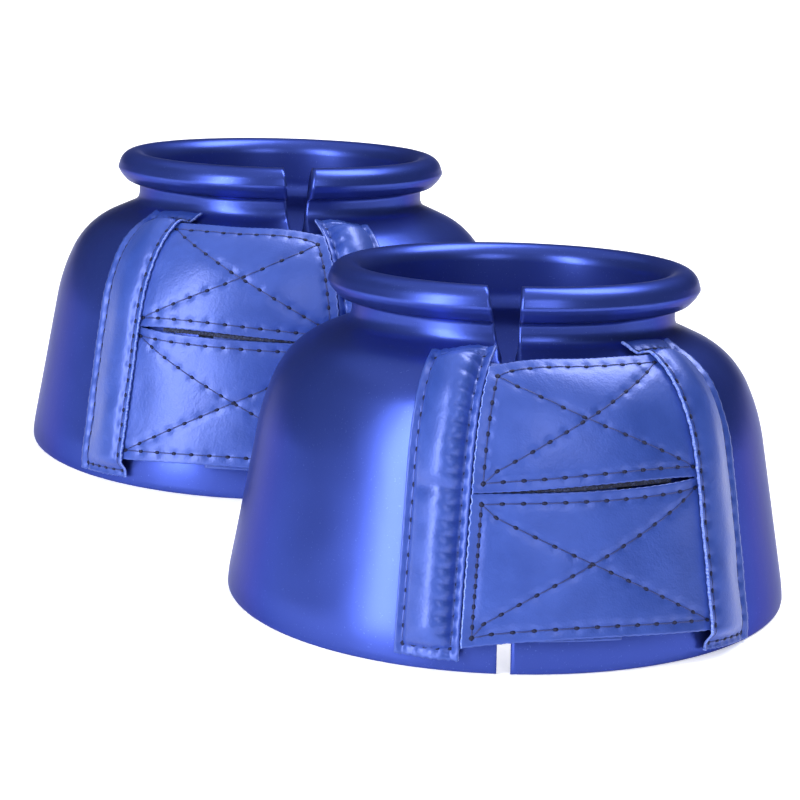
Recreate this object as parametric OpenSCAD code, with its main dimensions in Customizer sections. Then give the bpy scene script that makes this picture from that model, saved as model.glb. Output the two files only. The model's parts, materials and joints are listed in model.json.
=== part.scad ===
// A pair of moulded bell boots for a horse's front hooves, each closed by two pairs of
// hook-and-loop tabs over a slit. The two boots mirror each other.
// +Z is up, -Y is the front, and the origin is under the middle of the pair, on the floor.

/* [Shell] */
// Outer radius of the hem
hem_r = 95; // [90:0.5:100]
// Lean of the lower wall towards the axis, degrees
flare_angle = 9.6; // [8:0.2:11]
// Height where the shoulder begins, along the boot's own axis
shoulder_h = 54; // [50:1:58]
// Radius of the lower shoulder curve
shoulder_low_r = 70; // [60:1:80]
// Radius of the upper shoulder curve
shoulder_top_r = 30; // [27:1:32]
// Outer radius of the neck under the collar
neck_r = 54.8; // [52:0.2:57]
// Height of the neck under the collar
neck_h = 4.6; // [3:0.2:6]
// Thickness of the moulded wall
wall = 4; // [3:0.5:4.5]
// Radius of the rolled collar's section
collar_r = 6; // [5:0.5:6.5]

/* [Slit] */
// Width of the slit between the shell's two ends
slit_w = 4.4; // [3:0.2:6]
// Width of the notch where it opens through the collar
notch_w = 11; // [8:0.5:12]
// How far the right boot's slit has drifted sideways where its notch begins
right_slit_drift = 2; // [0:0.5:2.5]
// How far the right boot's notch has drifted sideways at the top of the collar
right_notch_drift = 4; // [0:0.5:4.5]

/* [Closure] */
// Thickness of the vinyl tabs
vinyl = 1; // [0.8:0.1:1.2]
// Thickness of the hook tape and of the loop tape on the tabs
tape = 0.5; // [0.4:0.1:0.6]
// Rise of the padded strip above the tabs that it covers
pad_rise = 3.2; // [2.5:0.1:4]
// Half of the cut between an upper and a lower tab
tab_gap = 0.6; // [0.4:0.1:1]
// Azimuth of the middle of the strip over the outer tabs' sewn ends, from the slit
outer_strip_a = 48.5; // [47.5:0.5:50]
// Width of the strip over the outer tabs' sewn ends
outer_strip_w = 24; // [22:0.5:25]
// Azimuth of the middle of the padded strip, from the slit
inner_strip_a = -15.5; // [-16.5:0.5:-15.5]
// Width of the padded strip
inner_strip_w = 21.6; // [21:0.2:24]
// Azimuth of the free end of the inner tabs, from the slit
inner_free_a = 22; // [18:0.5:24]

/* [Pair] */
// Backward lean of each boot's axis, degrees
lean = 5; // [0:0.5:6]
// Turn of the right boot about its own axis, degrees
right_turn = 1; // [0:0.5:2]
// Turn of the left boot about its own axis, degrees
left_turn = 10.5; // [8:0.5:12]
// Distance between the two boots' centres, side to side
pair_dx = 92.5; // [92:0.5:110]
// Distance between the two boots' centres, front to back
pair_dy = 187; // [187:0.5:200]

/* [Hidden] */

$fn = 180;

// The pair is a little deeper in front of its centres than behind, because the tabs are in front.
pair_shift_y = 2.57;

// The outer profile as a chain of straight runs and arcs, from below the hem up to the collar.
// Each entry is [length, lean at its start, lean at its end], with the lean in degrees from the
// axis, and inward is positive.
hem_start_h = -12;
hem_bend_h = -3;
hem_bend_r = 60;
crown_angle = 66;
crown_lean_start = 26;
neck_fillet_r = 4;

function arc_len(r, turn) = r * turn * PI / 180;
function fall(r, a0, a1) = r * (cos(a0) - cos(a1));

flare_h = shoulder_h - hem_bend_h - hem_bend_r * sin(flare_angle);
flare_len = flare_h / cos(flare_angle);
crown_fall = hem_r - neck_r
    - fall(hem_bend_r, 0, flare_angle)
    - flare_len * sin(flare_angle)
    - fall(shoulder_low_r, flare_angle, crown_lean_start)
    - fall(shoulder_top_r, crown_lean_start, crown_angle)
    - fall(neck_fillet_r, 0, crown_angle);

CHAIN = [
    [hem_bend_h - hem_start_h, 0, 0],
    [arc_len(hem_bend_r, flare_angle), 0, flare_angle],
    [flare_len, flare_angle, flare_angle],
    [arc_len(shoulder_low_r, crown_lean_start - flare_angle), flare_angle, crown_lean_start],
    [arc_len(shoulder_top_r, crown_angle - crown_lean_start), crown_lean_start, crown_angle],
    [crown_fall / sin(crown_angle), crown_angle, crown_angle],
    [arc_len(neck_fillet_r, crown_angle), crown_angle, 0],
    [neck_h, 0, 0]
];
CHAIN_STEP = 4.5;  // degrees of turn in one chord

// Length along the profile where run i starts.
function chain_s(i) = i == 0 ? 0 : chain_s(i - 1) + CHAIN[i - 1][0];
profile_len = chain_s(len(CHAIN));

// Point of a run that starts at p, after a length d along it.
function run_point(p, run, d) =
    let (a0 = run[1], turn = run[2] - run[1], a = a0 + turn * d / run[0])
    turn == 0
        ? [p[0] - d * sin(a0), p[1] + d * cos(a0)]
        : let (r = run[0] * 180 / (PI * turn))
          [p[0] - r * (cos(a0) - cos(a)), p[1] + r * (sin(a) - sin(a0))];

function run_start(i) = i == 0
    ? [hem_r, hem_start_h]
    : run_point(run_start(i - 1), CHAIN[i - 1], CHAIN[i - 1][0]);

function run_of(s, i = 0) = i == len(CHAIN) - 1 || s < chain_s(i + 1) ? i : run_of(s, i + 1);

// Point [radius, height] at length s along the profile, moved outward by n.
function wall_point(s, n) =
    let (
        i = run_of(s),
        run = CHAIN[i],
        d = s - chain_s(i),
        a = run[1] + (run[2] - run[1]) * d / run[0],
        p = run_point(run_start(i), run, d)
    )
    [p[0] + n * cos(a), p[1] + n * sin(a)];

// The lengths at which every layer puts its points.
KNOTS = [
    for (i = [0 : len(CHAIN) - 1])
        let (chords = max(1, ceil(abs(CHAIN[i][2] - CHAIN[i][1]) / CHAIN_STEP)))
        for (k = [0 : chords - 1])
            chain_s(i) + CHAIN[i][0] * k / chords
];

function wall_line(s0, s1, n) = [
    wall_point(s0, n),
    for (s = KNOTS) if (s > s0 + 0.05 && s < s1 - 0.05) wall_point(s, n),
    wall_point(s1, n)
];

function reversed(points) = [for (i = [len(points) - 1 : -1 : 0]) points[i]];

// Levels along the profile.
tab_low_s = 15;
tab_split_s = 64.8;
tab_top_s = 104.5;
strip_low_s = 8.5;
outer_strip_top_s = 116;
inner_strip_top_s = 112;
tape_inset = 3;

// Distances of the layers from the shell, outward. Layers sewn together keep a glue line,
// and layers that come apart keep a running gap.
glue = 0.05;
run_gap = 0.3;
shell_loop_n = glue + 0.55;
inner_hook_n = shell_loop_n + run_gap;
inner_tab_n = inner_hook_n + tape;
inner_loop_n = inner_tab_n + vinyl;
outer_hook_n = inner_loop_n + tape + run_gap;
outer_tab_n = outer_hook_n + tape;
outer_top_n = outer_tab_n + vinyl;
inner_pad_n = inner_loop_n + pad_rise;

// How far a joined layer stops short of the faces of the one that it runs into.
bite = 0.5;

// Cuts across a strip, as distances from its middle line. Positive runs like the azimuth.
hinge_gap = 0.5;
outer_edge = -outer_strip_w / 2;
outer_fold = [-6, 1.8];
outer_root_end = 2;
outer_step = [2.3, 3.6];
inner_edge = inner_strip_w / 2;
inner_fold = [-8, -3];
inner_root_end = -8.2;
inner_side = 1.9;
free_end_gap = 0.6;
tab_end_inset = 2;

// Azimuths between which the layers are drawn before they are cut to width.
strip_span = 26;
shell_loop_a = [3, 26];

vinyl_blue = "royalblue";
shell_blue = "mediumblue";
tape_navy = "midnightblue";

module placed(side) {
    right = side == "right";
    x = (right ? 1 : -1) * pair_dx / 2;
    y = (right ? -1 : 1) * pair_dy / 2 + pair_shift_y;
    translate([x, y, 0])
        rotate([-lean, 0, 0])
            rotate([0, 0, right ? right_turn : left_turn])
                mirror([right ? 0 : 1, 0, 0])
                    children();
}

// A layer of the wall between two levels, two distances from the shell and two azimuths.
// Azimuth 0 is the slit, towards -Y, and positive runs towards the outer tabs' sewn ends.
module layer(s, n, a) {
    rotate([0, 0, a[0] - 90])
        rotate_extrude(angle = a[1] - a[0])
            polygon(concat(wall_line(s[0], s[1], n[0]), reversed(wall_line(s[0], s[1], n[1]))));
}

// What lies between two distances from the middle line of the strip at azimuth a.
module cut_across(a, x) {
    reach = 140;
    low_h = -20;
    intersection() {
        children();
        rotate([0, 0, a])
            translate([x[0], -reach, low_h])
                cube([x[1] - x[0], reach, reach]);
    }
}

module strip_layer(s, n, a, x) {
    cut_across(a, x)
        layer(s, n, [a - strip_span, a + strip_span]);
}

// One tab or tape on both levels: "upper", "lower", or both for a sewn root.
function level(name, inset = 0) = name == "upper"
    ? [tab_split_s + tab_gap + inset, tab_top_s - inset]
    : [tab_low_s + inset, tab_split_s - tab_gap - inset];

// ---- the moulded boot ----

module shell_section() {
    collar_mid = [neck_r - wall + collar_r, wall_point(profile_len, 0)[1] + collar_r];
    collar_start = -78;
    collar_arc = [
        for (k = [0 : 16])
            let (a = collar_start + (180 - collar_start) * k / 16)
            collar_mid + collar_r * [cos(a), sin(a)]
    ];
    polygon(concat(
        wall_line(0, profile_len, 0),
        collar_arc,
        reversed(wall_line(0, profile_len, -wall))
    ));
}

// The slit runs straight up the boot, or drifts a little where the moulding was cut askew.
module slit_and_notch(side) {
    notch_low_h = 88;
    notch_low_w = slit_w + 1.2;
    reach = 120;
    low_h = -20;
    top_h = 114;
    right = side == "right";
    hem_x = right ? -right_slit_drift / 2 : 0;
    low_x = right ? -right_slit_drift : 0;
    top_x = right ? -right_notch_drift : 0;
    rotate([90, 0, 0])
        linear_extrude(height = reach)
            polygon([
                [hem_x - slit_w / 2, low_h],
                [hem_x + slit_w / 2, low_h],
                [low_x + slit_w / 2, notch_low_h],
                [low_x + notch_low_w / 2, notch_low_h],
                [top_x + notch_w / 2, top_h],
                [top_x - notch_w / 2, top_h],
                [low_x - notch_low_w / 2, notch_low_h],
                [low_x - slit_w / 2, notch_low_h]
            ]);
}

module shell(side) {
    block = 400;
    color(shell_blue)
        intersection() {
            placed(side)
                difference() {
                    rotate_extrude()
                        shell_section();
                    slit_and_notch(side);
                }
            translate([-block / 2, -block / 2, 0])
                cube([block, block, block / 2]);
        }
}

module shell_loop(side) {
    color(tape_navy)
        placed(side)
            layer([tab_low_s + tape_inset, tab_top_s - tape_inset], [glue, shell_loop_n], shell_loop_a);
}

// ---- the outer tabs, sewn on beyond the slit's far side ----

// A flat strip that lies over the tabs' ends, steps down past them and ends on the shell.
module outer_strip(side) {
    s = [strip_low_s, outer_strip_top_s];
    a = outer_strip_a;
    top = outer_top_n + glue;
    color(vinyl_blue)
        placed(side)
            union() {
                strip_layer(s, [top, top + vinyl], a, [outer_edge, outer_step[1]]);
                strip_layer(
                    [s[0] + bite, s[1] - bite],
                    [glue + vinyl / 2, top + vinyl / 2],
                    a,
                    [outer_step[0], outer_step[1] - bite / 2]
                );
                strip_layer(s, [glue, glue + vinyl], a, [outer_step[0] + bite / 2, -outer_edge]);
            }
}

// The sewn end of a tab: its skin and the fold under it that brings it down to the shell.
module tab_root(name, skin_n, a, skin_x, fold_x) {
    s = level(name);
    union() {
        strip_layer(s, [skin_n, skin_n + vinyl], a, skin_x);
        strip_layer([s[0] + bite, s[1] - bite], [glue, skin_n + vinyl / 2], a, fold_x);
    }
}

module outer_tab_roots(side) {
    color(vinyl_blue)
        placed(side)
            for (name = ["upper", "lower"])
                tab_root(name, outer_tab_n, outer_strip_a, [outer_edge, outer_root_end], outer_fold);
}

// A layer of an outer tab, inset from the padded strip beside its free end and from its hinge.
module outer_layer(s, n, inset) {
    far = 200;
    cut_across(outer_strip_a, [-far, outer_edge - hinge_gap - inset[1]])
        cut_across(inner_strip_a, [inner_edge + free_end_gap + inset[0], far])
            layer(s, n, [inner_strip_a, outer_strip_a]);
}

module outer_tab(side, name) {
    color(vinyl_blue)
        placed(side)
            outer_layer(level(name), [outer_tab_n, outer_top_n], [0, 0]);
}

module outer_hook(side, name) {
    hook_end = 10;
    color(tape_navy)
        placed(side)
            outer_layer(
                level(name, tape_inset),
                [outer_hook_n, outer_tab_n - glue],
                [tab_end_inset, hook_end]
            );
}

// ---- the inner tabs, sewn on beside the slit under the padded strip ----

module inner_strip(side) {
    s = [strip_low_s, inner_strip_top_s];
    low = inner_loop_n + glue;
    cap = 3;
    color(vinyl_blue)
        placed(side)
            difference() {
                union() {
                    strip_layer(s, [low, inner_pad_n], inner_strip_a, [-inner_edge, inner_edge]);
                    strip_layer(
                        [s[0] + bite, s[1] - bite],
                        [glue, inner_pad_n - bite],
                        inner_strip_a,
                        [bite / 2 - inner_edge, inner_side - bite - inner_edge]
                    );
                }
                strip_layer(
                    [s[0] + cap, s[1] - cap],
                    [low - 1, inner_pad_n - vinyl],
                    inner_strip_a,
                    [inner_side - inner_edge, inner_edge - inner_side]
                );
            }
}

module inner_strip_core(side) {
    clear = 0.1;
    cap = 3 + clear;
    low = inner_loop_n + glue;
    half_w = inner_edge - inner_side - clear;
    color("dimgray")
        placed(side)
            strip_layer(
                [strip_low_s + cap, inner_strip_top_s - cap],
                [low, inner_pad_n - vinyl - glue],
                inner_strip_a,
                [-half_w, half_w]
            );
}

module inner_tab_roots(side) {
    color(vinyl_blue)
        placed(side)
            for (name = ["upper", "lower"])
                tab_root(name, inner_tab_n, inner_strip_a, [inner_root_end, inner_edge], inner_fold);
}

// A layer of an inner tab, from its hinge beside the padded strip to its free end.
module inner_layer(s, n, inset) {
    far = 200;
    cut_across(inner_strip_a, [inner_edge + hinge_gap + inset[0], far])
        layer(s, n, [inner_strip_a, inner_free_a - inset[1]]);
}

module inner_tab(side, name) {
    color(vinyl_blue)
        placed(side)
            inner_layer(level(name), [inner_tab_n, inner_loop_n], [0, 0]);
}

module inner_hook(side, name) {
    hook_start = 20;
    color(tape_navy)
        placed(side)
            inner_layer(level(name, tape_inset), [inner_hook_n, inner_tab_n - glue], [hook_start, 1]);
}

module inner_loop(side, name) {
    loop_start = 3.5;
    color(tape_navy)
        placed(side)
            inner_layer(
                level(name, tape_inset),
                [inner_loop_n + glue, inner_loop_n + tape],
                [loop_start, 1]
            );
}

shell("right");  // right_shell
shell_loop("right");  // right_shell_loop
outer_strip("right");  // right_outer_strip
outer_tab_roots("right");  // right_outer_tab_roots
outer_tab("right", "upper");  // right_outer_upper_tab
outer_tab("right", "lower");  // right_outer_lower_tab
outer_hook("right", "upper");  // right_outer_upper_hook
outer_hook("right", "lower");  // right_outer_lower_hook
inner_strip("right");  // right_inner_strip
inner_strip_core("right");  // right_inner_strip_core
inner_tab_roots("right");  // right_inner_tab_roots
inner_tab("right", "upper");  // right_inner_upper_tab
inner_tab("right", "lower");  // right_inner_lower_tab
inner_hook("right", "upper");  // right_inner_upper_hook
inner_hook("right", "lower");  // right_inner_lower_hook
inner_loop("right", "upper");  // right_inner_upper_loop
inner_loop("right", "lower");  // right_inner_lower_loop
shell("left");  // left_shell
shell_loop("left");  // left_shell_loop
outer_strip("left");  // left_outer_strip
outer_tab_roots("left");  // left_outer_tab_roots
outer_tab("left", "upper");  // left_outer_upper_tab
outer_tab("left", "lower");  // left_outer_lower_tab
outer_hook("left", "upper");  // left_outer_upper_hook
outer_hook("left", "lower");  // left_outer_lower_hook
inner_strip("left");  // left_inner_strip
inner_strip_core("left");  // left_inner_strip_core
inner_tab_roots("left");  // left_inner_tab_roots
inner_tab("left", "upper");  // left_inner_upper_tab
inner_tab("left", "lower");  // left_inner_lower_tab
inner_hook("left", "upper");  // left_inner_upper_hook
inner_hook("left", "lower");  // left_inner_lower_hook
inner_loop("left", "upper");  // left_inner_upper_loop
inner_loop("left", "lower");  // left_inner_lower_loop
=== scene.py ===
"""The looks of a pair of bell boots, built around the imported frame.

Lengths are in millimetres until Boot.place() turns them into the frame's metres. A place on a
boot is given by its azimuth in degrees from the slit, its length s along the outer profile from
below the hem upward, and its distance n outward from the shell.
"""

import json
import math

import bpy
import numpy as np
from mathutils import Matrix, Vector


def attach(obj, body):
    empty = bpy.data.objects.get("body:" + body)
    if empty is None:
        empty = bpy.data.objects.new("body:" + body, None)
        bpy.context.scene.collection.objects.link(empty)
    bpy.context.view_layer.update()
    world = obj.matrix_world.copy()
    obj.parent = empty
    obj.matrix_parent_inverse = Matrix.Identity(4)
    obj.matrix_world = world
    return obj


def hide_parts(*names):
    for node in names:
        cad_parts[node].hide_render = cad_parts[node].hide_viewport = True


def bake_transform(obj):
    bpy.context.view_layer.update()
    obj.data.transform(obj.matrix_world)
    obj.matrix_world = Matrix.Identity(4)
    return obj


MM = 0.001

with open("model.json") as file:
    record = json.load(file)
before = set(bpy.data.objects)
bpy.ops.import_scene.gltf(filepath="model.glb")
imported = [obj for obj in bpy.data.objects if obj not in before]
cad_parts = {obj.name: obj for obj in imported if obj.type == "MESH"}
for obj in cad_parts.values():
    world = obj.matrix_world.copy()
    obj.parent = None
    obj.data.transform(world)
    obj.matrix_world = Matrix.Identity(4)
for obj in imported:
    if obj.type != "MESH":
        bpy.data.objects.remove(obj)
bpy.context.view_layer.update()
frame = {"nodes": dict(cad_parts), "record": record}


# ---- the profile of a boot: a chain of straight runs and arcs, as in the CAD source ----

HEM_R = 95.0
HEM_START_H = -12.0
HEM_BEND_H = -3.0
HEM_BEND_R = 60.0
FLARE = 9.6
SHOULDER_H = 54.0
SHOULDER_LOW_R = 70.0
SHOULDER_TOP_R = 30.0
CROWN_LEAN_START = 26.0
CROWN_ANGLE = 66.0
NECK_FILLET_R = 4.0
NECK_R = 54.8
NECK_H = 4.6
WALL = 4.0
COLLAR_R = 6.0


def arc(radius, turn):
    return radius * math.radians(turn)


def fall(radius, lean0, lean1):
    return radius * (math.cos(math.radians(lean0)) - math.cos(math.radians(lean1)))


FLARE_H = SHOULDER_H - HEM_BEND_H - HEM_BEND_R * math.sin(math.radians(FLARE))
FLARE_LEN = FLARE_H / math.cos(math.radians(FLARE))
CROWN_FALL = (
    HEM_R
    - NECK_R
    - fall(HEM_BEND_R, 0, FLARE)
    - FLARE_LEN * math.sin(math.radians(FLARE))
    - fall(SHOULDER_LOW_R, FLARE, CROWN_LEAN_START)
    - fall(SHOULDER_TOP_R, CROWN_LEAN_START, CROWN_ANGLE)
    - fall(NECK_FILLET_R, 0, CROWN_ANGLE)
)
# Each run is its length, the lean at its start and the lean at its end, inward positive.
CHAIN = [
    (HEM_BEND_H - HEM_START_H, 0, 0),
    (arc(HEM_BEND_R, FLARE), 0, FLARE),
    (FLARE_LEN, FLARE, FLARE),
    (arc(SHOULDER_LOW_R, CROWN_LEAN_START - FLARE), FLARE, CROWN_LEAN_START),
    (arc(SHOULDER_TOP_R, CROWN_ANGLE - CROWN_LEAN_START), CROWN_LEAN_START, CROWN_ANGLE),
    (CROWN_FALL / math.sin(math.radians(CROWN_ANGLE)), CROWN_ANGLE, CROWN_ANGLE),
    (arc(NECK_FILLET_R, CROWN_ANGLE), CROWN_ANGLE, 0),
    (NECK_H, 0, 0),
]
CHAIN_S = np.concatenate([[0.0], np.cumsum([run[0] for run in CHAIN])])
PROFILE_LEN = CHAIN_S[-1]


def run_point(start, run, d):
    """Radius and height at length d along a run, and the lean there in radians."""
    length, lean0, lean1 = run
    a0 = math.radians(lean0)
    turn = math.radians(lean1 - lean0)
    if turn == 0:
        return start[0] - d * math.sin(a0), start[1] + d * math.cos(a0), a0 + 0 * d
    a = a0 + turn * d / length
    radius = length / turn
    r = start[0] - radius * (math.cos(a0) - np.cos(a))
    h = start[1] + radius * (np.sin(a) - math.sin(a0))
    return r, h, a


STARTS = [(HEM_R, HEM_START_H)]
for chain_run in CHAIN[:-1]:
    STARTS.append(run_point(STARTS[-1], chain_run, chain_run[0])[:2])


def wall(s, n=0.0):
    """Radius and height at length s along the profile, moved outward by n."""
    s, n = np.broadcast_arrays(np.asarray(s, float), np.asarray(n, float))
    index = np.clip(np.searchsorted(CHAIN_S, s, side="right") - 1, 0, len(CHAIN) - 1)
    radius = np.empty(s.shape)
    height = np.empty(s.shape)
    for i, run in enumerate(CHAIN):
        here = index == i
        r, h, a = run_point(STARTS[i], run, s[here] - CHAIN_S[i])
        radius[here] = r + n[here] * np.cos(a)
        height[here] = h + n[here] * np.sin(a)
    return radius, height


class Boot:
    """One boot: turns azimuth, s and n into points of the frame."""

    def __init__(self, side, turn):
        self.side = side
        self.body = side + "_boot"
        collar = next(m for m in frame["record"]["mounts"] if m["name"] == side + "_collar")
        top = np.array(collar["pos_m"])
        axis = np.array(collar["axis"])
        self.base = top - axis * top[2] / axis[2]
        lean = Matrix.Rotation(-math.atan2(axis[1], axis[2]), 3, "X")
        about = Matrix.Rotation(math.radians(turn), 3, "Z")
        mirror = Matrix.Diagonal((1 if side == "right" else -1, 1, 1))
        self.matrix = np.array(lean @ about @ mirror)

    def at(self, azimuth, radius, height):
        a = np.radians(azimuth)
        local = np.stack([radius * np.sin(a), -radius * np.cos(a), height + 0 * a], -1)
        return local @ self.matrix.T * MM + self.base

    def place(self, azimuth, s, n):
        radius, height = wall(s, n)
        return self.at(azimuth, radius, height)

    def node(self, name):
        return self.side + "_" + name


def across(middle, x, s):
    """The azimuth at a distance x from the middle plane of a strip, on the shell at level s."""
    return middle + np.degrees(np.arcsin(x / wall(s)[0]))


# ---- layers and levels, as in the CAD source ----

OUTER_MID = 48.5
OUTER_HALF = 12.0
INNER_MID = -15.5
INNER_HALF = 10.8
FREE_END_X = 11.3
INNER_FREE_A = 22.0
VINYL = 1.0
INNER_TAB_TOP = 2.4
OUTER_TAB_TOP = 4.7
OUTER_STRIP_TOP = 5.75
TAB_LOW_S = 15.0
TAB_SPLIT_S = 64.8
TAB_TOP_S = 104.5
STRIP_LOW_S = 8.5
OUTER_STRIP_TOP_S = 116.0
INNER_STRIP_TOP_S = 112.0


# ---- materials ----


def nodes_of(name):
    material = bpy.data.materials.new(name)
    material.use_nodes = True
    return material, material.node_tree.nodes, material.node_tree.links


def noise_node(nodes, links, vector, scale, detail=3.0):
    noise = nodes.new("ShaderNodeTexNoise")
    noise.inputs["Scale"].default_value = scale
    noise.inputs["Detail"].default_value = detail
    links.new(vector, noise.inputs["Vector"])
    return noise.outputs["Fac"]


def ramp_node(nodes, links, value, stops):
    ramp = nodes.new("ShaderNodeValToRGB")
    elements = ramp.color_ramp.elements
    elements[0].position, elements[0].color = stops[0][0], (*stops[0][1], 1)
    elements[1].position, elements[1].color = stops[-1][0], (*stops[-1][1], 1)
    for position, colour in stops[1:-1]:
        elements.new(position).color = (*colour, 1)
    links.new(value, ramp.inputs["Fac"])
    return ramp.outputs["Color"]


def range_node(nodes, links, value, low, high, to_low, to_high):
    node = nodes.new("ShaderNodeMapRange")
    for socket, number in zip(
        ("From Min", "From Max", "To Min", "To Max"), (low, high, to_low, to_high)
    ):
        node.inputs[socket].default_value = number
    links.new(value, node.inputs["Value"])
    return node.outputs["Result"]


def bump_node(nodes, links, height, strength, distance, normal=None):
    bump = nodes.new("ShaderNodeBump")
    bump.inputs["Strength"].default_value = strength
    bump.inputs["Distance"].default_value = distance
    links.new(height, bump.inputs["Height"])
    if normal:
        links.new(normal, bump.inputs["Normal"])
    return bump.outputs["Normal"]


def mix_node(nodes, links, factor, first, second):
    mix = nodes.new("ShaderNodeMix")
    mix.data_type = "RGBA"
    links.new(factor, mix.inputs["Factor"])
    for socket, value in ((6, first), (7, second)):
        if isinstance(value, tuple):
            mix.inputs[socket].default_value = (*value, 1)
        else:
            links.new(value, mix.inputs[socket])
    return mix.outputs[2]


def coordinates(nodes, kind):
    return nodes.new("ShaderNodeTexCoord").outputs[kind]


def shell_material():
    """Moulded PVC with a pearl in it: deep in the shade, pale and soft where it catches light."""
    material, nodes, links = nodes_of("shell_pvc")
    shader = nodes["Principled BSDF"]
    place = coordinates(nodes, "Object")
    cloud = noise_node(nodes, links, place, 22, 2)
    pearl = ramp_node(
        nodes, links, cloud, [(0.3, (0.034, 0.060, 0.31)), (0.7, (0.042, 0.072, 0.36))]
    )
    speck = noise_node(nodes, links, place, 1300, 2)
    dust = range_node(nodes, links, speck, 0.66, 0.74, 0.0, 0.35)
    links.new(mix_node(nodes, links, dust, pearl, (0.12, 0.19, 0.62)), shader.inputs["Base Color"])
    rough = range_node(nodes, links, cloud, 0.3, 0.7, 0.29, 0.35)
    links.new(rough, shader.inputs["Roughness"])
    shader.inputs["Metallic"].default_value = 0.75
    shader.inputs["Specular IOR Level"].default_value = 0.2
    shader.inputs["Specular Tint"].default_value = (0.05, 0.08, 0.28, 1)
    shader.inputs["Coat Weight"].default_value = 0.10
    shader.inputs["Coat Roughness"].default_value = 0.25
    mould = noise_node(nodes, links, place, 55, 3)
    grain = noise_node(nodes, links, place, 2400, 2)
    waves = bump_node(nodes, links, mould, 0.25, 0.0006)
    links.new(bump_node(nodes, links, grain, 0.05, 0.0001, waves), shader.inputs["Normal"])
    return material


def vinyl_material():
    """Coated vinyl with a fine leather grain. Its UV map is in millimetres."""
    material, nodes, links = nodes_of("vinyl")
    shader = nodes["Principled BSDF"]
    place = coordinates(nodes, "UV")
    cloud = noise_node(nodes, links, place, 0.09, 3)
    colour = ramp_node(
        nodes, links, cloud, [(0.3, (0.028, 0.068, 0.35)), (0.7, (0.036, 0.084, 0.41))]
    )
    links.new(colour, shader.inputs["Base Color"])
    links.new(range_node(nodes, links, cloud, 0.3, 0.7, 0.36, 0.44), shader.inputs["Roughness"])
    shader.inputs["Metallic"].default_value = 0.25
    shader.inputs["Coat Weight"].default_value = 0.12
    shader.inputs["Coat Roughness"].default_value = 0.3
    cells = nodes.new("ShaderNodeTexVoronoi")
    cells.inputs["Scale"].default_value = 1.5
    links.new(place, cells.inputs["Vector"])
    creases = noise_node(nodes, links, place, 0.5, 4)
    grain = bump_node(nodes, links, cells.outputs["Distance"], 0.32, 0.00012)
    links.new(bump_node(nodes, links, creases, 0.35, 0.0003, grain), shader.inputs["Normal"])
    return material


def raw_edge_material():
    """The cut edge of the vinyl, where its pale knit backing shows."""
    material, nodes, links = nodes_of("vinyl_raw_edge")
    shader = nodes["Principled BSDF"]
    place = coordinates(nodes, "UV")
    fray = noise_node(nodes, links, place, 1.6, 4)
    colour = ramp_node(
        nodes, links, fray, [(0.35, (0.07, 0.14, 0.62)), (0.65, (0.26, 0.36, 0.85))]
    )
    links.new(colour, shader.inputs["Base Color"])
    links.new(bump_node(nodes, links, fray, 0.6, 0.0003), shader.inputs["Normal"])
    shader.inputs["Roughness"].default_value = 0.85
    return material


def backing_material():
    """The knit backing on the inner face of the vinyl, with painted shade between its ribs."""
    material, nodes, links = nodes_of("vinyl_backing")
    shader = nodes["Principled BSDF"]
    place = coordinates(nodes, "UV")
    ribs = nodes.new("ShaderNodeTexWave")
    ribs.inputs["Scale"].default_value = 0.42
    ribs.inputs["Distortion"].default_value = 0.6
    links.new(place, ribs.inputs["Vector"])
    # The colour follows the ribs' bump: painted shade, darker in the grooves and paler on the ribs.
    colour = ramp_node(
        nodes, links, ribs.outputs["Fac"], [(0.2, (0.20, 0.25, 0.45)), (0.8, (0.42, 0.48, 0.70))]
    )
    links.new(colour, shader.inputs["Base Color"])
    links.new(bump_node(nodes, links, ribs.outputs["Fac"], 0.5, 0.0003), shader.inputs["Normal"])
    shader.inputs["Roughness"].default_value = 0.9
    return material


def thread_material():
    """Navy bonded thread, twisted, with painted shade darkening the grooves of its twist."""
    material, nodes, links = nodes_of("thread")
    shader = nodes["Principled BSDF"]
    place = coordinates(nodes, "UV")
    twist = nodes.new("ShaderNodeTexWave")
    twist.bands_direction = "DIAGONAL"
    twist.inputs["Scale"].default_value = 0.9
    links.new(place, twist.inputs["Vector"])
    # The colour follows the twist's bump: painted shade, darker in the grooves and paler on the
    # ridges of the navy thread.
    stops = [(0.2, (0.012, 0.022, 0.12)), (0.8, (0.026, 0.048, 0.24))]
    colour = ramp_node(nodes, links, twist.outputs["Fac"], stops)
    links.new(colour, shader.inputs["Base Color"])
    links.new(bump_node(nodes, links, twist.outputs["Fac"], 0.5, 0.0001), shader.inputs["Normal"])
    shader.inputs["Roughness"].default_value = 0.5
    return material


def hole_shade_material():
    """Painted shade for a needle hole: a near-black colour standing in for the shade inside the
    hole.
    """
    material, nodes, links = nodes_of("painted_hole_shade")
    shader = nodes["Principled BSDF"]
    fleck = noise_node(nodes, links, coordinates(nodes, "UV"), 2.0, 2)
    # Near-black bluish colours: painted shade for the inside of the hole, not a colour of the vinyl
    # or thread.
    colour = ramp_node(
        nodes, links, fleck, [(0.3, (0.002, 0.004, 0.030)), (0.7, (0.007, 0.013, 0.070))]
    )
    links.new(colour, shader.inputs["Base Color"])
    shader.inputs["Roughness"].default_value = 0.8
    return material


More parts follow.
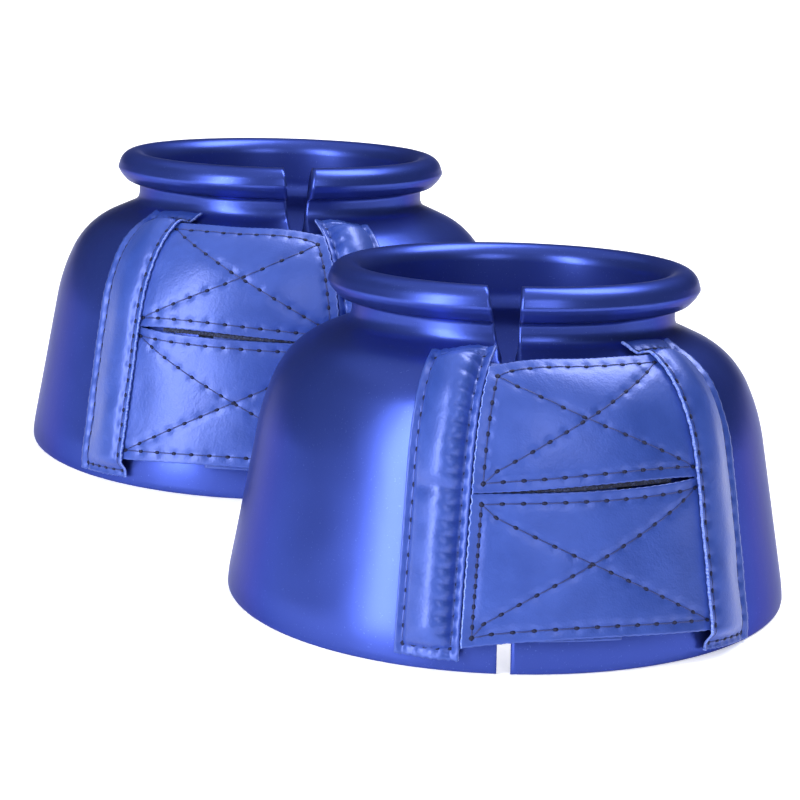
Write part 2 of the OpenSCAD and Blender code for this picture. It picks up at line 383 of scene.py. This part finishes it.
def tape_material(name, dark, pale, pile_scale, pile_depth):
    """Woven nylon tape with a pile of hooks or loops on it, paler on the pile's tops, with painted
    shade between the hooks or loops.
    """
    material, nodes, links = nodes_of(name)
    shader = nodes["Principled BSDF"]
    place = coordinates(nodes, "Object")
    pile = nodes.new("ShaderNodeTexVoronoi")
    pile.inputs["Scale"].default_value = pile_scale
    links.new(place, pile.inputs["Vector"])
    wear = noise_node(nodes, links, place, 180, 4)
    distance = pile.outputs["Distance"]
    # Pale on the pile's tops and dark between them, following the pile's bump: painted shade
    # between the tufts. The worn patches go over to the paler colour.
    pile_colour_and_shade = ramp_node(nodes, links, distance, [(0.15, pale), (0.6, dark)])
    worn = range_node(nodes, links, wear, 0.55, 0.75, 0.0, 0.4)
    links.new(mix_node(nodes, links, worn, pile_colour_and_shade, pale), shader.inputs["Base Color"])
    height = range_node(nodes, links, distance, 0.0, 0.7, 1.0, 0.0)
    links.new(bump_node(nodes, links, height, 0.8, pile_depth), shader.inputs["Normal"])
    shader.inputs["Roughness"].default_value = 0.75
    shader.inputs["Sheen Weight"].default_value = 0.25
    return material


SHELL = shell_material()
VINYL_SKIN = vinyl_material()
RAW_EDGE = raw_edge_material()
BACKING = backing_material()
THREAD = thread_material()
HOLE_SHADE = hole_shade_material()
# Each tape's first colour is its painted shade between the hooks or loops, the second its colour on
# their tops.
HOOKS = tape_material("hook_tape", (0.006, 0.010, 0.035), (0.030, 0.045, 0.12), 900, 0.0006)
LOOPS = tape_material("loop_tape", (0.010, 0.016, 0.055), (0.045, 0.065, 0.17), 520, 0.0004)


# ---- mesh making ----


def new_object(name, points, faces, materials, face_materials, uv):
    """A closed, smooth-shaded mesh in the frame, with its faces turned outward."""
    flat = np.reshape(points, (-1, 3))
    fans = [(f[0], f[i], f[i + 1]) for f in faces for i in range(1, len(f) - 1)]
    a, b, c = np.moveaxis(flat[np.array(fans)], 1, 0)
    volume = np.einsum("ij,ij->", a - flat[0], np.cross(b - flat[0], c - flat[0]))
    if volume < 0:
        faces = [tuple(reversed(f)) for f in faces]
    mesh = bpy.data.meshes.new(name)
    mesh.from_pydata(flat.tolist(), [], faces)
    for material in materials:
        mesh.materials.append(material)
    mesh.polygons.foreach_set("material_index", np.array(face_materials, np.int32))
    mesh.polygons.foreach_set("use_smooth", np.ones(len(faces), bool))
    layer = mesh.uv_layers.new(name="UVMap")
    vertex_of_loop = np.empty(len(mesh.loops), np.int32)
    mesh.loops.foreach_get("vertex_index", vertex_of_loop)
    layer.data.foreach_set("uv", np.reshape(uv, (-1, 2))[vertex_of_loop].astype(np.float32).ravel())
    mesh.update()
    made = bpy.data.objects.new(name, mesh)
    bpy.context.scene.collection.objects.link(made)
    return made


def grid_faces(columns, rows, start=0):
    """The quads of a grid of points whose rows run fastest."""
    faces = []
    for i in range(columns - 1):
        for j in range(rows - 1):
            p = start + i * rows + j
            faces.append((p, p + rows, p + rows + 1, p + 1))
    return faces


def graded(low, high, step, rim):
    """Positions from low to high about a step apart, closer at both ends for a crisp rim."""
    count = max(2, round((high - low - 4 * rim) / step))
    middle = np.linspace(low + 2 * rim, high - 2 * rim, count + 1)
    return np.concatenate([[low, low + rim], middle, [high - rim, high]])


def slab(name, top, low, uv, pale):
    """A sheet with a thickness. Its sides show the cut edge, and its low face the backing.

    The fraying rims named in pale, of "first", "last" and "top", show on the face too.
    """
    columns, rows = top.shape[:2]
    count = columns * rows
    faces = grid_faces(columns, rows)
    rims = {"first": lambda i, j: i == 0, "last": lambda i, j: i == columns - 2}
    rims["top"] = lambda i, j: j == rows - 2
    skin = [
        1 if any(rims[rim](i, j) for rim in pale) else 0
        for i in range(columns - 1)
        for j in range(rows - 1)
    ]
    backs = [tuple(count + p for p in reversed(face)) for face in faces]
    border = (
        [j for j in range(rows)]
        + [i * rows + rows - 1 for i in range(1, columns)]
        + [(columns - 1) * rows + j for j in range(rows - 2, -1, -1)]
        + [i * rows for i in range(columns - 2, 0, -1)]
    )
    sides = [
        (p, count + p, count + q, q) for p, q in zip(border, border[1:] + border[:1])
    ]
    # From outside, the border runs clockwise on the top face, so each side turns the same way out.
    sides = [tuple(reversed(side)) for side in sides]
    return new_object(
        name,
        np.concatenate([top.reshape(-1, 3), low.reshape(-1, 3)]),
        faces + backs + sides,
        [VINYL_SKIN, RAW_EDGE, BACKING],
        skin + [2] * len(backs) + [1] * len(sides),
        np.concatenate([uv.reshape(-1, 2), uv.reshape(-1, 2)]),
    )


# ---- seams ----


def polyline(points, step=0.8):
    """Points about a step apart along straight legs."""
    points = np.asarray(points, float)
    legs = np.linalg.norm(np.diff(points, axis=0), axis=1)
    length = np.concatenate([[0.0], np.cumsum(legs)])
    at = np.linspace(0, length[-1], max(2, round(length[-1] / step) + 1))
    return np.stack([np.interp(at, length, points[:, k]) for k in range(2)], -1)


class Seam:
    """A row of stitches along a line of (t, s) places on a sheet."""

    def __init__(self, line, pitch):
        self.line = np.asarray(line, float)
        legs = np.linalg.norm(np.diff(self.line, axis=0), axis=1)
        length = np.concatenate([[0.0], np.cumsum(legs)])
        count = max(1, round(length[-1] / pitch))
        at = np.linspace(0, length[-1], count + 1)
        self.holes = np.stack([np.interp(at, length, self.line[:, k]) for k in range(2)], -1)


def nearest(points, t, s):
    """The distance from each (t, s) to the nearest of the points."""
    place = np.stack([t.ravel(), s.ravel()], -1)
    best = np.full(len(place), 1e9)
    for block in range(0, len(points), 64):
        part = points[block : block + 64]
        gap = place[:, None, :] - part[None, :, :]
        best = np.minimum(best, np.sqrt((gap**2).sum(-1)).min(1))
    return best.reshape(t.shape)


def bell(distance, width):
    return np.exp(-((distance / width) ** 2))


class Sheet:
    """A sewn sheet on a boot. Its places are t across it, s along the profile, and its top's n."""

    def __init__(self, boot, azimuth, height, seams, groove=0.25, hole=0.45):
        self.boot = boot
        self.azimuth = azimuth
        self.plain_height = height
        self.seams = seams
        self.groove = groove
        self.hole = hole
        self.lines = np.concatenate([seam.line for seam in seams])
        self.holes = np.concatenate([seam.holes for seam in seams])

    def height(self, t, s):
        """The top face, pulled in along the seams and at every needle hole."""
        groove_width = 1.5
        hole_width = 1.3
        line = self.groove * bell(nearest(self.lines, t, s), groove_width)
        hole = self.hole * bell(nearest(self.holes, t, s), hole_width)
        return self.plain_height(t, s) - line - hole

    def place(self, t, s, n):
        return self.boot.place(self.azimuth(t, s), s, n)

    def mesh(self, name, t, s, thickness, pale=()):
        top = self.height(t, s)
        low = self.plain_height(t, s) - thickness
        rim_drop = 0.1
        top[0] -= rim_drop
        top[-1] -= rim_drop
        top[:, 0] -= rim_drop
        top[:, -1] -= rim_drop
        uv = np.stack([t, s], -1)
        return slab(name, self.place(t, s, top), self.place(t, s, low), uv, pale)


def thread_mesh(name, sheet):
    """Every stitch of a sheet's seams, and a dark lens of painted shade in every needle hole."""
    half_width = 0.22
    half_depth = 0.16
    rings = 7
    sides = 6
    starts = np.concatenate([seam.holes[:-1] for seam in sheet.seams])
    ends = np.concatenate([seam.holes[1:] for seam in sheet.seams])
    along = np.linspace(0, 1, rings)
    t = starts[:, None, 0] + (ends - starts)[:, None, 0] * along
    s = starts[:, None, 1] + (ends - starts)[:, None, 1] * along
    lift = 0.12 - 0.5 * bell(np.minimum(along, 1 - along), 0.12)
    n = sheet.height(t, s) + lift
    centre = sheet.place(t, s, n)
    up = sheet.place(t, s, n + 1) - centre
    up /= np.linalg.norm(up, axis=-1, keepdims=True)
    forward = np.gradient(centre, axis=1)
    forward /= np.linalg.norm(forward, axis=-1, keepdims=True)
    aside = np.cross(forward, up)
    taper = 1 - 0.35 * bell(np.minimum(along, 1 - along), 0.06)
    points = []
    for k in range(sides):
        angle = 2 * math.pi * k / sides
        spread = half_width * math.cos(angle) * aside + half_depth * math.sin(angle) * up
        points.append(centre + spread * taper[:, None] * MM)
    tubes = np.stack(points, 2)
    count = len(starts)
    faces = []
    for stitch in range(count):
        first = stitch * rings * sides
        for ring in range(rings - 1):
            for k in range(sides):
                p = first + ring * sides + k
                q = first + ring * sides + (k + 1) % sides
                faces.append((p, q, q + sides, p + sides))
        faces.append(tuple(first + k for k in range(sides - 1, -1, -1)))
        last = first + (rings - 1) * sides
        faces.append(tuple(last + k for k in range(sides)))
    thread_faces = len(faces)
    uv_along = np.broadcast_to((along * 6)[None, :, None], tubes.shape[:3])
    uv_round = np.broadcast_to(np.arange(sides)[None, None, :] * 0.4, tubes.shape[:3])
    uv = np.stack([uv_along, uv_round], -1).reshape(-1, 2)

    # Dark lenses of painted shade in the needle holes.
    shade_points, shade_faces = hole_shade_lenses(sheet, tubes[..., 0].size)
    return new_object(
        name,
        np.concatenate([tubes.reshape(-1, 3), shade_points]),
        faces + shade_faces,
        [THREAD, HOLE_SHADE],
        [0] * thread_faces + [1] * len(shade_faces),
        np.concatenate([uv, np.zeros((len(shade_points), 2))]),
    )


def hole_shade_lenses(sheet, start):
    """A small dark lens in every needle hole, painted shade standing in for the shade inside the
    hole.
    """
    radius = 0.6
    length = 1.0
    half_height = 0.22
    # The lens sits part of the way up the dent, so that the sheet doesn't bury it.
    share_up = 0.62
    sides = 8
    holes = sheet.holes
    ways = np.concatenate([np.gradient(seam.holes, axis=0) for seam in sheet.seams]) * 0.05
    n = sheet.height(holes[:, 0], holes[:, 1]) + share_up * sheet.hole
    centre = sheet.place(holes[:, 0], holes[:, 1], n)
    up = sheet.place(holes[:, 0], holes[:, 1], n + 1) - centre
    up /= np.linalg.norm(up, axis=-1, keepdims=True)
    along = sheet.place(holes[:, 0] + ways[:, 0], holes[:, 1] + ways[:, 1], n) - centre
    along -= up * np.einsum("ij,ij->i", along, up)[:, None]
    along /= np.linalg.norm(along, axis=-1, keepdims=True)
    aside = np.cross(up, along)
    points = [centre + up * half_height * MM]
    for k in range(sides):
        angle = 2 * math.pi * k / sides
        reach = radius * math.cos(angle) * aside + length * math.sin(angle) * along
        points.append(centre + reach * MM)
    points.append(centre - up * half_height * MM)
    per_hole = sides + 2
    faces = []
    for i in range(len(holes)):
        top = start + i * per_hole
        low = top + per_hole - 1
        for k in range(sides):
            p = top + 1 + k
            q = top + 1 + (k + 1) % sides
            faces.append((top, p, q))
            faces.append((low, q, p))
    return np.stack(points, 1).reshape(-1, 3), faces


# ---- the moulded shell ----


def slit_edges(boot, height):
    """The two edges of the slit, as distances from the front plane. It opens into a notch."""
    low_h = 88.0
    top_h = 112.0
    levels = [HEM_START_H, low_h, top_h]
    drift = [-1.0, -2.0, -4.0] if boot.side == "right" else [0.0, 0.0, 0.0]
    middle = np.interp(height, levels, drift)
    half = np.where(height < low_h, 2.2, np.interp(height, [low_h, top_h], [2.9, 5.6]))
    return middle - half, middle + half


def floor_level(boot, azimuth, n):
    """The length s at which the wall meets the floor."""
    low = np.zeros(np.shape(azimuth))
    high = np.full(np.shape(azimuth), 40.0)
    for _ in range(30):
        middle = (low + high) / 2
        above = boot.place(azimuth, middle, n)[..., 2] > 0
        high = np.where(above, middle, high)
        low = np.where(above, low, middle)
    return (low + high) / 2


def collar_section():
    """Radius and height along the rolled collar, with a parting ridge where it is widest."""
    middle_r = NECK_R - WALL + COLLAR_R
    middle_h = float(wall(PROFILE_LEN)[1]) + COLLAR_R
    angle = np.linspace(-78, 180, 37)
    ridge = 0.4 * bell(angle + 4, 7)
    flat_band = 0.35 * bell(angle + 42, 18)
    size = COLLAR_R + ridge - flat_band
    turn = np.radians(angle)
    return middle_r + size * np.cos(turn), middle_h + size * np.sin(turn)


def shell_mesh(boot):
    columns = 300
    wall_rows = 68
    edge_r = 1.1
    share = np.linspace(0, 1, columns)
    around = 360 * share
    hem_s = floor_level(boot, around, -WALL / 2)

    def line(fraction, n):
        """One line round the wall, at a fraction of its length up from the hem."""
        s = hem_s + edge_r + (PROFILE_LEN - hem_s - edge_r) * fraction
        wave = 0.25 * np.sin(np.radians(2 * around + 40)) + 0.15 * np.sin(np.radians(5 * around))
        fade = np.sin(math.pi * min(1.0, fraction * 1.15)) ** 2
        return wall(s, n + wave * fade)

    rings = []
    for turn in np.radians([0.0, 30.0, 60.0]):
        n = -edge_r * (1 - math.sin(turn))
        rings.append(wall(hem_s + edge_r * (1 - math.cos(turn)), n))
    for fraction in np.linspace(0, 1, wall_rows):
        rings.append(line(fraction, 0.0))
    outer_count = len(rings)
    collar_r, collar_h = collar_section()
    for r, h in zip(collar_r, collar_h):
        rings.append((np.full(columns, r), np.full(columns, h)))
    collar_count = len(collar_r)
    for fraction in np.linspace(1, 0, wall_rows):
        rings.append(line(fraction, -WALL))
    for turn in np.radians([60.0, 30.0, 0.0]):
        n = -WALL + edge_r * (1 - math.sin(turn))
        rings.append(wall(hem_s + edge_r * (1 - math.cos(turn)), n))

    radius = np.stack([r for r, _ in rings], 1)
    height = np.stack([h for _, h in rings], 1)
    slit_low, slit_high = slit_edges(boot, height)
    first = np.degrees(np.arcsin(slit_high / radius))
    last = 360 + np.degrees(np.arcsin(slit_low / radius))
    azimuth = first + (last - first) * share[:, None]
    points = boot.at(azimuth, radius, height)
    rows = len(rings)
    faces = grid_faces(columns, rows)
    for i in range(columns - 1):
        p = i * rows
        faces.append((p + rows - 1, p + 2 * rows - 1, p + rows, p))
    for edge, flip in ((0, False), ((columns - 1) * rows, True)):
        cap = []
        for k in range(outer_count - 1):
            cap.append((edge + k, edge + k + 1, edge + rows - 2 - k, edge + rows - 1 - k))
        collar = range(outer_count - 1, outer_count + collar_count + 1)
        cap.append(tuple(edge + k for k in collar))
        faces += [tuple(reversed(face)) for face in cap] if flip else cap
    uv = np.stack([np.radians(azimuth) * radius, np.broadcast_to(height, radius.shape)], -1)
    piece = new_object(boot.node("moulded_shell"), points, faces, [SHELL], [0] * len(faces), uv)
    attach(piece, boot.body)
    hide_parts(boot.node("shell"))


# ---- the outer strip, sewn over the outer tabs' ends ----


def outer_strip(boot):
    step_x = 1.0
    foot_n = 1.15
    first_row = -9.9
    last_row = 9.0
    end = 5.2
    low_row = STRIP_LOW_S + 2.4
    top_row = OUTER_STRIP_TOP_S - end
    middle = (first_row + last_row) / 2
    half = (last_row - first_row) / 2

    def height(x, s):
        """High over the tabs' ends, gently down to the shell, with a bulge between the rows."""
        down = 1 / (1 + np.exp((x - step_x) / 3.2))
        low_end = np.clip((s - TAB_LOW_S + 5) / 5, 0, 1)
        top_end = np.clip((TAB_TOP_S + 5 - s) / 5, 0, 1)
        over_tabs = low_end * top_end
        over_tabs = over_tabs * over_tabs * (3 - 2 * over_tabs)
        high = foot_n + 1.0 + (OUTER_STRIP_TOP - foot_n - 1.0) * over_tabs
        bulge = 1.15 * np.clip(1 - ((x - middle) / half) ** 2, 0, 1) * (0.35 + 0.65 * over_tabs)
        ripple = 0.16 * np.sin(s / 6.1) * np.sin(x / 4.0) + 0.10 * np.sin(s / 3.3 + x / 3.1)
        valley = 0.55 * bell(x - last_row, 1.5)
        curl = 0.5 * np.clip((first_row - x) / 2.1, 0, 1)
        return foot_n + (high - foot_n) * down + bulge + ripple - valley + curl

    seams = [
        Seam(polyline([(first_row, low_row), (first_row, top_row)]), 5.7),
        Seam(polyline([(last_row, low_row), (last_row, top_row)]), 5.7),
        Seam(polyline([(first_row, top_row), (last_row, top_row)]), 4.0),
        Seam(polyline([(first_row, low_row), (last_row, low_row)]), 4.0),
    ]
    sheet = Sheet(boot, lambda x, s: across(OUTER_MID, x, s), height, seams, 0.3, 0.5)
    x = graded(-OUTER_HALF, OUTER_HALF, 0.75, 0.45)[:, None]
    share = graded(0, 1, 0.0075, 0.004)[None, :]
    ragged = 0.18 * np.sin(x * 2.9) + 0.12 * np.sin(x * 5.3 + 1)
    s = STRIP_LOW_S + ragged + (OUTER_STRIP_TOP_S - STRIP_LOW_S - ragged) * share
    fray = 0.16 * np.sin(s * 1.7) + 0.10 * np.sin(s * 4.1 + 2)
    x = x + fray * np.clip((np.abs(x) - OUTER_HALF + 1.2) / 1.2, 0, 1) * np.sign(x)
    piece = sheet.mesh(boot.node("flat_binding"), x, s, VINYL, pale=["first"])
    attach(piece, boot.body)
    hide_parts(boot.node("outer_strip"))
    thread = thread_mesh(boot.node("flat_binding_thread"), sheet)
    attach(thread, boot.body)


# ---- the padded strip, sewn over the inner tabs' ends ----


def padded_strip(boot):
    low_end = 3.4
    top_end = 4.4
    left_row = -8.2
    right_row = 7.9
    left_n = 1.3
    right_n = 4.1
    fill = 4.3
    middle = (left_row + right_row) / 2
    half = (right_row - left_row) / 2
    low_row = STRIP_LOW_S + low_end
    top_row = INNER_STRIP_TOP_S - top_end
    seams = [
        Seam(polyline([(left_row, low_row), (left_row, top_row)]), 5.6),
        Seam(polyline([(right_row, low_row), (right_row, top_row)]), 5.0),
        Seam(polyline([(left_row, top_row), (right_row, top_row)]), 4.2),
        Seam(polyline([(left_row, low_row), (right_row, low_row)]), 4.2),
    ]
    puckers = seams[1].holes

    def height(x, s):
        """A stuffed tube between two rows, pinched at its ends and where the tabs part."""
        level = left_n + (right_n - left_n) / (1 + np.exp(-(x + 1.5) / 2.2))
        ends = np.clip((s - low_row) / 6, 0, 1) * np.clip((top_row - 0.5 - s) / 5, 0, 1)
        ends = np.clip(ends, 0, 1) ** 0.45
        pinch = 1 - 0.30 * bell(s - 62.5, 3.2) - 0.10 * bell(s - 88, 4) - 0.08 * bell(s - 36, 6)
        side = np.abs((x - middle) / half)
        round_top = np.clip(1 - side**2.2, 0, 1) ** 0.6
        lumps = 1 + 0.05 * np.sin(s / 5.2 + 0.8) + 0.03 * np.sin(s / 2.3) * np.cos(x / 3.2)
        lip = 0.9 * bell(s - top_row - 1.3, 1.0) * np.clip(1 - side, 0, 1) ** 0.3
        tube = fill * ends * pinch * round_top * lumps
        gap_x = (x[..., None] - puckers[:, 0] + 1.6) / 2.6
        gap_s = (s[..., None] - puckers[:, 1]) / 0.95
        dent = 0.9 * np.exp(-(gap_x**2) - gap_s**2).max(-1)
        valley = 0.6 * bell(x - right_row, 1.4) + 0.45 * bell(x - left_row, 1.1)
        return level + tube + lip - dent - valley

    sheet = Sheet(boot, lambda x, s: across(INNER_MID, x, s), height, seams, 0.35, 0.5)
    x = graded(-INNER_HALF, INNER_HALF, 0.6, 0.4)[:, None]
    share = graded(0, 1, 0.0068, 0.004)[None, :]
    ragged = 0.20 * np.sin(x * 2.3) + 0.14 * np.sin(x * 4.7 + 1)
    s = STRIP_LOW_S + ragged + (INNER_STRIP_TOP_S - STRIP_LOW_S - 2 * ragged) * share
    x = x + 0 * s
    piece = sheet.mesh(boot.node("padded_binding"), x, s, VINYL)
    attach(piece, boot.body)
    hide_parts(boot.node("inner_strip"), boot.node("inner_strip_core"))
    thread = thread_mesh(boot.node("padded_binding_thread"), sheet)
    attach(thread, boot.body)


# ---- the tabs ----


def outer_hinge(s):
    return across(OUTER_MID, -OUTER_HALF, s)


def outer_width(s):
    """The length across an outer tab from its hinge to its free end, on the shell at level s."""
    free = across(INNER_MID, FREE_END_X, s)
    return np.radians(outer_hinge(s) - free) * wall(s)[0]


def outer_azimuth(t, s):
    """The azimuth at a length t from the hinge, towards the free end."""
    return outer_hinge(s) - np.degrees(t / wall(s)[0])


def outer_levels(level, share):
    """The lower and upper edge of an outer tab at a share of its width from the hinge."""
    share = np.clip(share, 0, 1)
    cut = TAB_SPLIT_S - 0.2 - 3.4 * share**1.6
    opening = 0.10 + 1.0 * np.clip(np.sin(math.pi * share**0.62), 0, 1) ** 1.3
    if level == "upper":
        return cut + opening, TAB_TOP_S + 0.6 - 4.2 * share**5
    return TAB_LOW_S + 0.2 + 1.2 * np.sin(math.pi * share) - 2.6 * share**4, cut - opening


def outer_tab(boot, level):
    root = 6.0
    inset = 3.2
    reference = 80.0

    def height(t, s):
        width = outer_width(s)
        share = t / width
        free = np.clip((t - width + 9) / 9, 0, 1)
        press = 0.55 * np.clip((t + 1) / 9, 0, 1) * np.clip((26 - t) / 16, 0, 1)
        swell = 0.28 * np.sin(share * 5.2 + 0.6) * np.sin(s / 11.0 + 1.3)
        small = 0.10 * np.sin(t / 4.3 + s / 9.1) + 0.07 * np.sin(s / 3.7 - t / 6.1)
        lie = 0.35 * free**2
        flat = np.clip((t + 2) / 6, 0, 1)
        return OUTER_TAB_TOP - 0.15 + (swell + small + press * 0.3) * flat + lie * flat

    def corner_line(places):
        """Places given as a share across and an inset level, as (t, s)."""
        share, along = np.asarray(places, float).T
        low, high = outer_levels(level, share)
        s = low + inset + (high - low - 2 * inset) * along
        width = outer_width(s)
        return np.stack([np.minimum(share * width, width - inset), s], -1)

    count = 60
    path = np.linspace(0, 1, count)
    near = 0.005
    across_rows = [np.stack([near + (1 - near) * path, np.full(count, row)], -1) for row in (0, 1)]
    end_row = np.stack([np.ones(count), path], -1)
    rising = np.stack([near + (1 - near) * path, path], -1)
    falling = np.stack([near + (1 - near) * path, 1 - path], -1)
    pitches = (6.5, 6.5, 3.4 if level == "lower" else 5.0, 6.5, 6.5)
    paths = (*across_rows, end_row, rising, falling)
    seams = [Seam(corner_line(p), pitch) for p, pitch in zip(paths, pitches)]
    sheet = Sheet(boot, outer_azimuth, height, seams, 0.22, 0.42)

    columns = np.concatenate([np.linspace(-root, -0.8, 9), graded(0, reference, 0.85, 0.4)])
    along = graded(0, 1, 0.02, 0.007)
    share = np.broadcast_to((columns / reference)[:, None], (len(columns), len(along)))
    low, high = outer_levels(level, share)
    s = low + (high - low) * along[None, :]
    s = s + 0.10 * np.sin(columns * 2.1)[:, None] * (1 - 2 * along)[None, :]
    ragged = 0.16 * np.sin(s * 1.9) + 0.10 * np.sin(s * 4.7)
    t = np.where(share > 0, share * (outer_width(s) + ragged), columns[:, None])
    piece = sheet.mesh(boot.node(f"outer_{level}_flap"), t, s, VINYL, pale=["last"])
    thread = thread_mesh(boot.node(f"outer_{level}_flap_thread"), sheet)
    body = f"{boot.side}_outer_{level}"
    middle_s = (TAB_SPLIT_S + TAB_LOW_S) / 2 if level == "lower" else (TAB_SPLIT_S + TAB_TOP_S) / 2
    start, end = blend_points(boot, OUTER_MID, -OUTER_HALF - 0.25, -8.0, middle_s, OUTER_TAB_TOP)
    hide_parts(body + "_tab", boot.node("outer_tab_roots"))
    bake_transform(piece)
    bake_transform(thread)


def cut_tape(boot):
    """The upper tab's hook tape. Its woven edge reaches into the cut below the tab."""
    past_edge = 1.5
    top = 3.4
    thickness = 0.4
    start_t = 9.0
    margin = 5.0
    top_margin = 6.0
    gap_below = 0.25
    share = graded(0, 1, 0.018, 0.005)[:, None]
    along = graded(0, 1, 0.03, 0.01)[None, :]
    width = outer_width(TAB_SPLIT_S)
    places_across = (start_t + share * (width - margin - start_t)) / width
    low = np.maximum(
        outer_levels("upper", places_across)[0] - past_edge,
        outer_levels("lower", places_across)[1] + gap_below,
    )
    s = low + (TAB_TOP_S - top_margin - low) * along
    t = start_t + share * (outer_width(s) - margin - start_t)
    azimuth = outer_azimuth(t, s)
    piece = slab(
        boot.node("outer_upper_tape"),
        boot.place(azimuth, s, top),
        boot.place(azimuth, s, top - thickness),
        np.stack([t, s], -1),
        [],
    )
    for index in range(len(piece.data.materials)):
        piece.data.materials[index] = HOOKS
    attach(piece, f"{boot.side}_outer_upper")
    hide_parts(boot.node("outer_upper_hook"))


def blend_points(boot, middle, x, reach, s, n):
    """Where a tab's bend starts, on a plane along its strip, and where it ends."""
    start = boot.place(across(middle, x, s), s, n)
    a = math.radians(middle)
    aside = np.array([math.cos(a), math.sin(a), 0]) @ boot.matrix.T
    return start, start + aside * reach * MM


def inner_tab(boot, level):
    root = 16.6
    hinge_x = INNER_HALF
    reach = 3.0
    gap = 0.6
    low_s, high_s = (
        (TAB_SPLIT_S + gap, TAB_TOP_S) if level == "upper" else (TAB_LOW_S, TAB_SPLIT_S - gap)
    )
    inset = 2.4

    def hinge(s):
        return across(INNER_MID, hinge_x, s)

    def azimuth(t, s):
        return hinge(s) + np.degrees(t / wall(s)[0])

    def width(s):
        return np.radians(INNER_FREE_A - hinge(s)) * wall(s)[0]

    def height(t, s):
        # The sewn end dips, so that the strip's stitches don't meet it.
        sunk = 0.9 * np.clip(-t / 2.5, 0, 1)
        return INNER_TAB_TOP - sunk + 0.05 * np.sin(t / 5.0 + s / 7.0)

    top = polyline([(2.0, high_s - inset), (float(width(high_s)) - inset, high_s - inset)])
    low = polyline([(2.0, low_s + inset), (float(width(low_s)) - inset, low_s + inset)])
    seams = [Seam(top, 5.5), Seam(low, 5.5)]
    sheet = Sheet(boot, azimuth, height, seams, 0.05, 0.1)
    reference = 40.0
    columns = np.concatenate([np.linspace(-root, -0.8, 12), graded(0, reference, 1.0, 0.4)])
    s = graded(low_s, high_s, 1.2, 0.3)[None, :] + 0 * columns[:, None]
    share = (columns / reference)[:, None] + 0 * s
    t = np.where(share > 0, share * width(s), columns[:, None])
    piece = sheet.mesh(boot.node(f"inner_{level}_flap"), t, s, VINYL)
    body = f"{boot.side}_inner_{level}"
    middle_s = (low_s + high_s) / 2
    start, end = blend_points(boot, INNER_MID, hinge_x + 0.25, reach, middle_s, INNER_TAB_TOP)
    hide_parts(body + "_tab", boot.node("inner_tab_roots"))
    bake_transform(piece)


def tapes(boot):
    """The CAD's own tapes, with the pile of hooks or loops as a material."""
    for name, node in frame["nodes"].items():
        if not name.startswith(boot.side):
            continue
        kind = HOOKS if name.endswith("_hook") else LOOPS if name.endswith("_loop") else None
        if kind:
            node.data.materials.clear()
            node.data.materials.append(kind)


# ---- floor, lights and camera ----


def floor():
    material, nodes, links = nodes_of("pale_floor")
    shader = nodes["Principled BSDF"]
    tone = noise_node(nodes, links, coordinates(nodes, "Object"), 4, 2)
    colour = ramp_node(nodes, links, tone, [(0.3, (0.90, 0.90, 0.91)), (0.7, (0.93, 0.93, 0.94))])
    links.new(colour, shader.inputs["Base Color"])
    shader.inputs["Roughness"].default_value = 0.75
    shader.inputs["Emission Color"].default_value = (0.97, 0.98, 1.0, 1)
    shader.inputs["Emission Strength"].default_value = 0.48
    bpy.ops.mesh.primitive_plane_add(size=12)
    plane = bpy.context.active_object
    plane.name = "floor"
    plane.data.materials.append(material)


def area_light(name, location, target, size, power, colour=(1, 1, 1)):
    data = bpy.data.lights.new(name, "AREA")
    data.shape = "RECTANGLE"
    data.size, data.size_y = size
    data.energy = power
    data.color = colour
    light = bpy.data.objects.new(name, data)
    light.location = location
    aim = Vector(target) - Vector(location)
    light.rotation_euler = aim.to_track_quat("-Z", "Y").to_euler()
    bpy.context.scene.collection.objects.link(light)


def lights():
    world = bpy.data.worlds.new("studio")
    world.use_nodes = True
    background = world.node_tree.nodes["Background"]
    background.inputs["Color"].default_value = (0.93, 0.95, 1.0, 1)
    background.inputs["Strength"].default_value = 0.10
    bpy.context.scene.world = world
    middle = (0.0, 0.0, 0.06)
    area_light("overhead", (0.0, 0.6, 2.4), (0.0, 0.6, 0.0), (4.5, 4.5), 42)
    area_light("softbox_left", (-0.95, -0.96, 0.55), middle, (0.36, 1.2), 22)
    area_light("fill_right", (0.55, -1.5, 1.0), middle, (0.6, 0.8), 7)
    area_light("softbox_top", (0.45, 0.45, 1.25), middle, (0.9, 0.6), 18)
    bpy.context.scene.view_settings.view_transform = "Standard"


def camera():
    data = bpy.data.cameras.new("camera")
    data.lens = 159.72
    data.sensor_width = 36.0
    made = bpy.data.objects.new("camera", data)
    bpy.context.scene.collection.objects.link(made)
    made.location = (0.04625, -1.25506, 0.37060)
    forward = Vector((-0.031039, 0.966603, -0.254392))
    roll = math.radians(1.3975)
    made.rotation_mode = "QUATERNION"
    made.rotation_quaternion = forward.to_track_quat("-Z", "Y") @ Matrix.Rotation(
        roll, 3, "Z"
    ).to_quaternion()
    bpy.context.scene.camera = made


camera()
for boot in (Boot("right", 1.0), Boot("left", 10.5)):
    shell_mesh(boot)
    outer_strip(boot)
    padded_strip(boot)
    for tab_level in ("upper", "lower"):
        outer_tab(boot, tab_level)
        inner_tab(boot, tab_level)
    cut_tape(boot)
    tapes(boot)
floor()
lights()
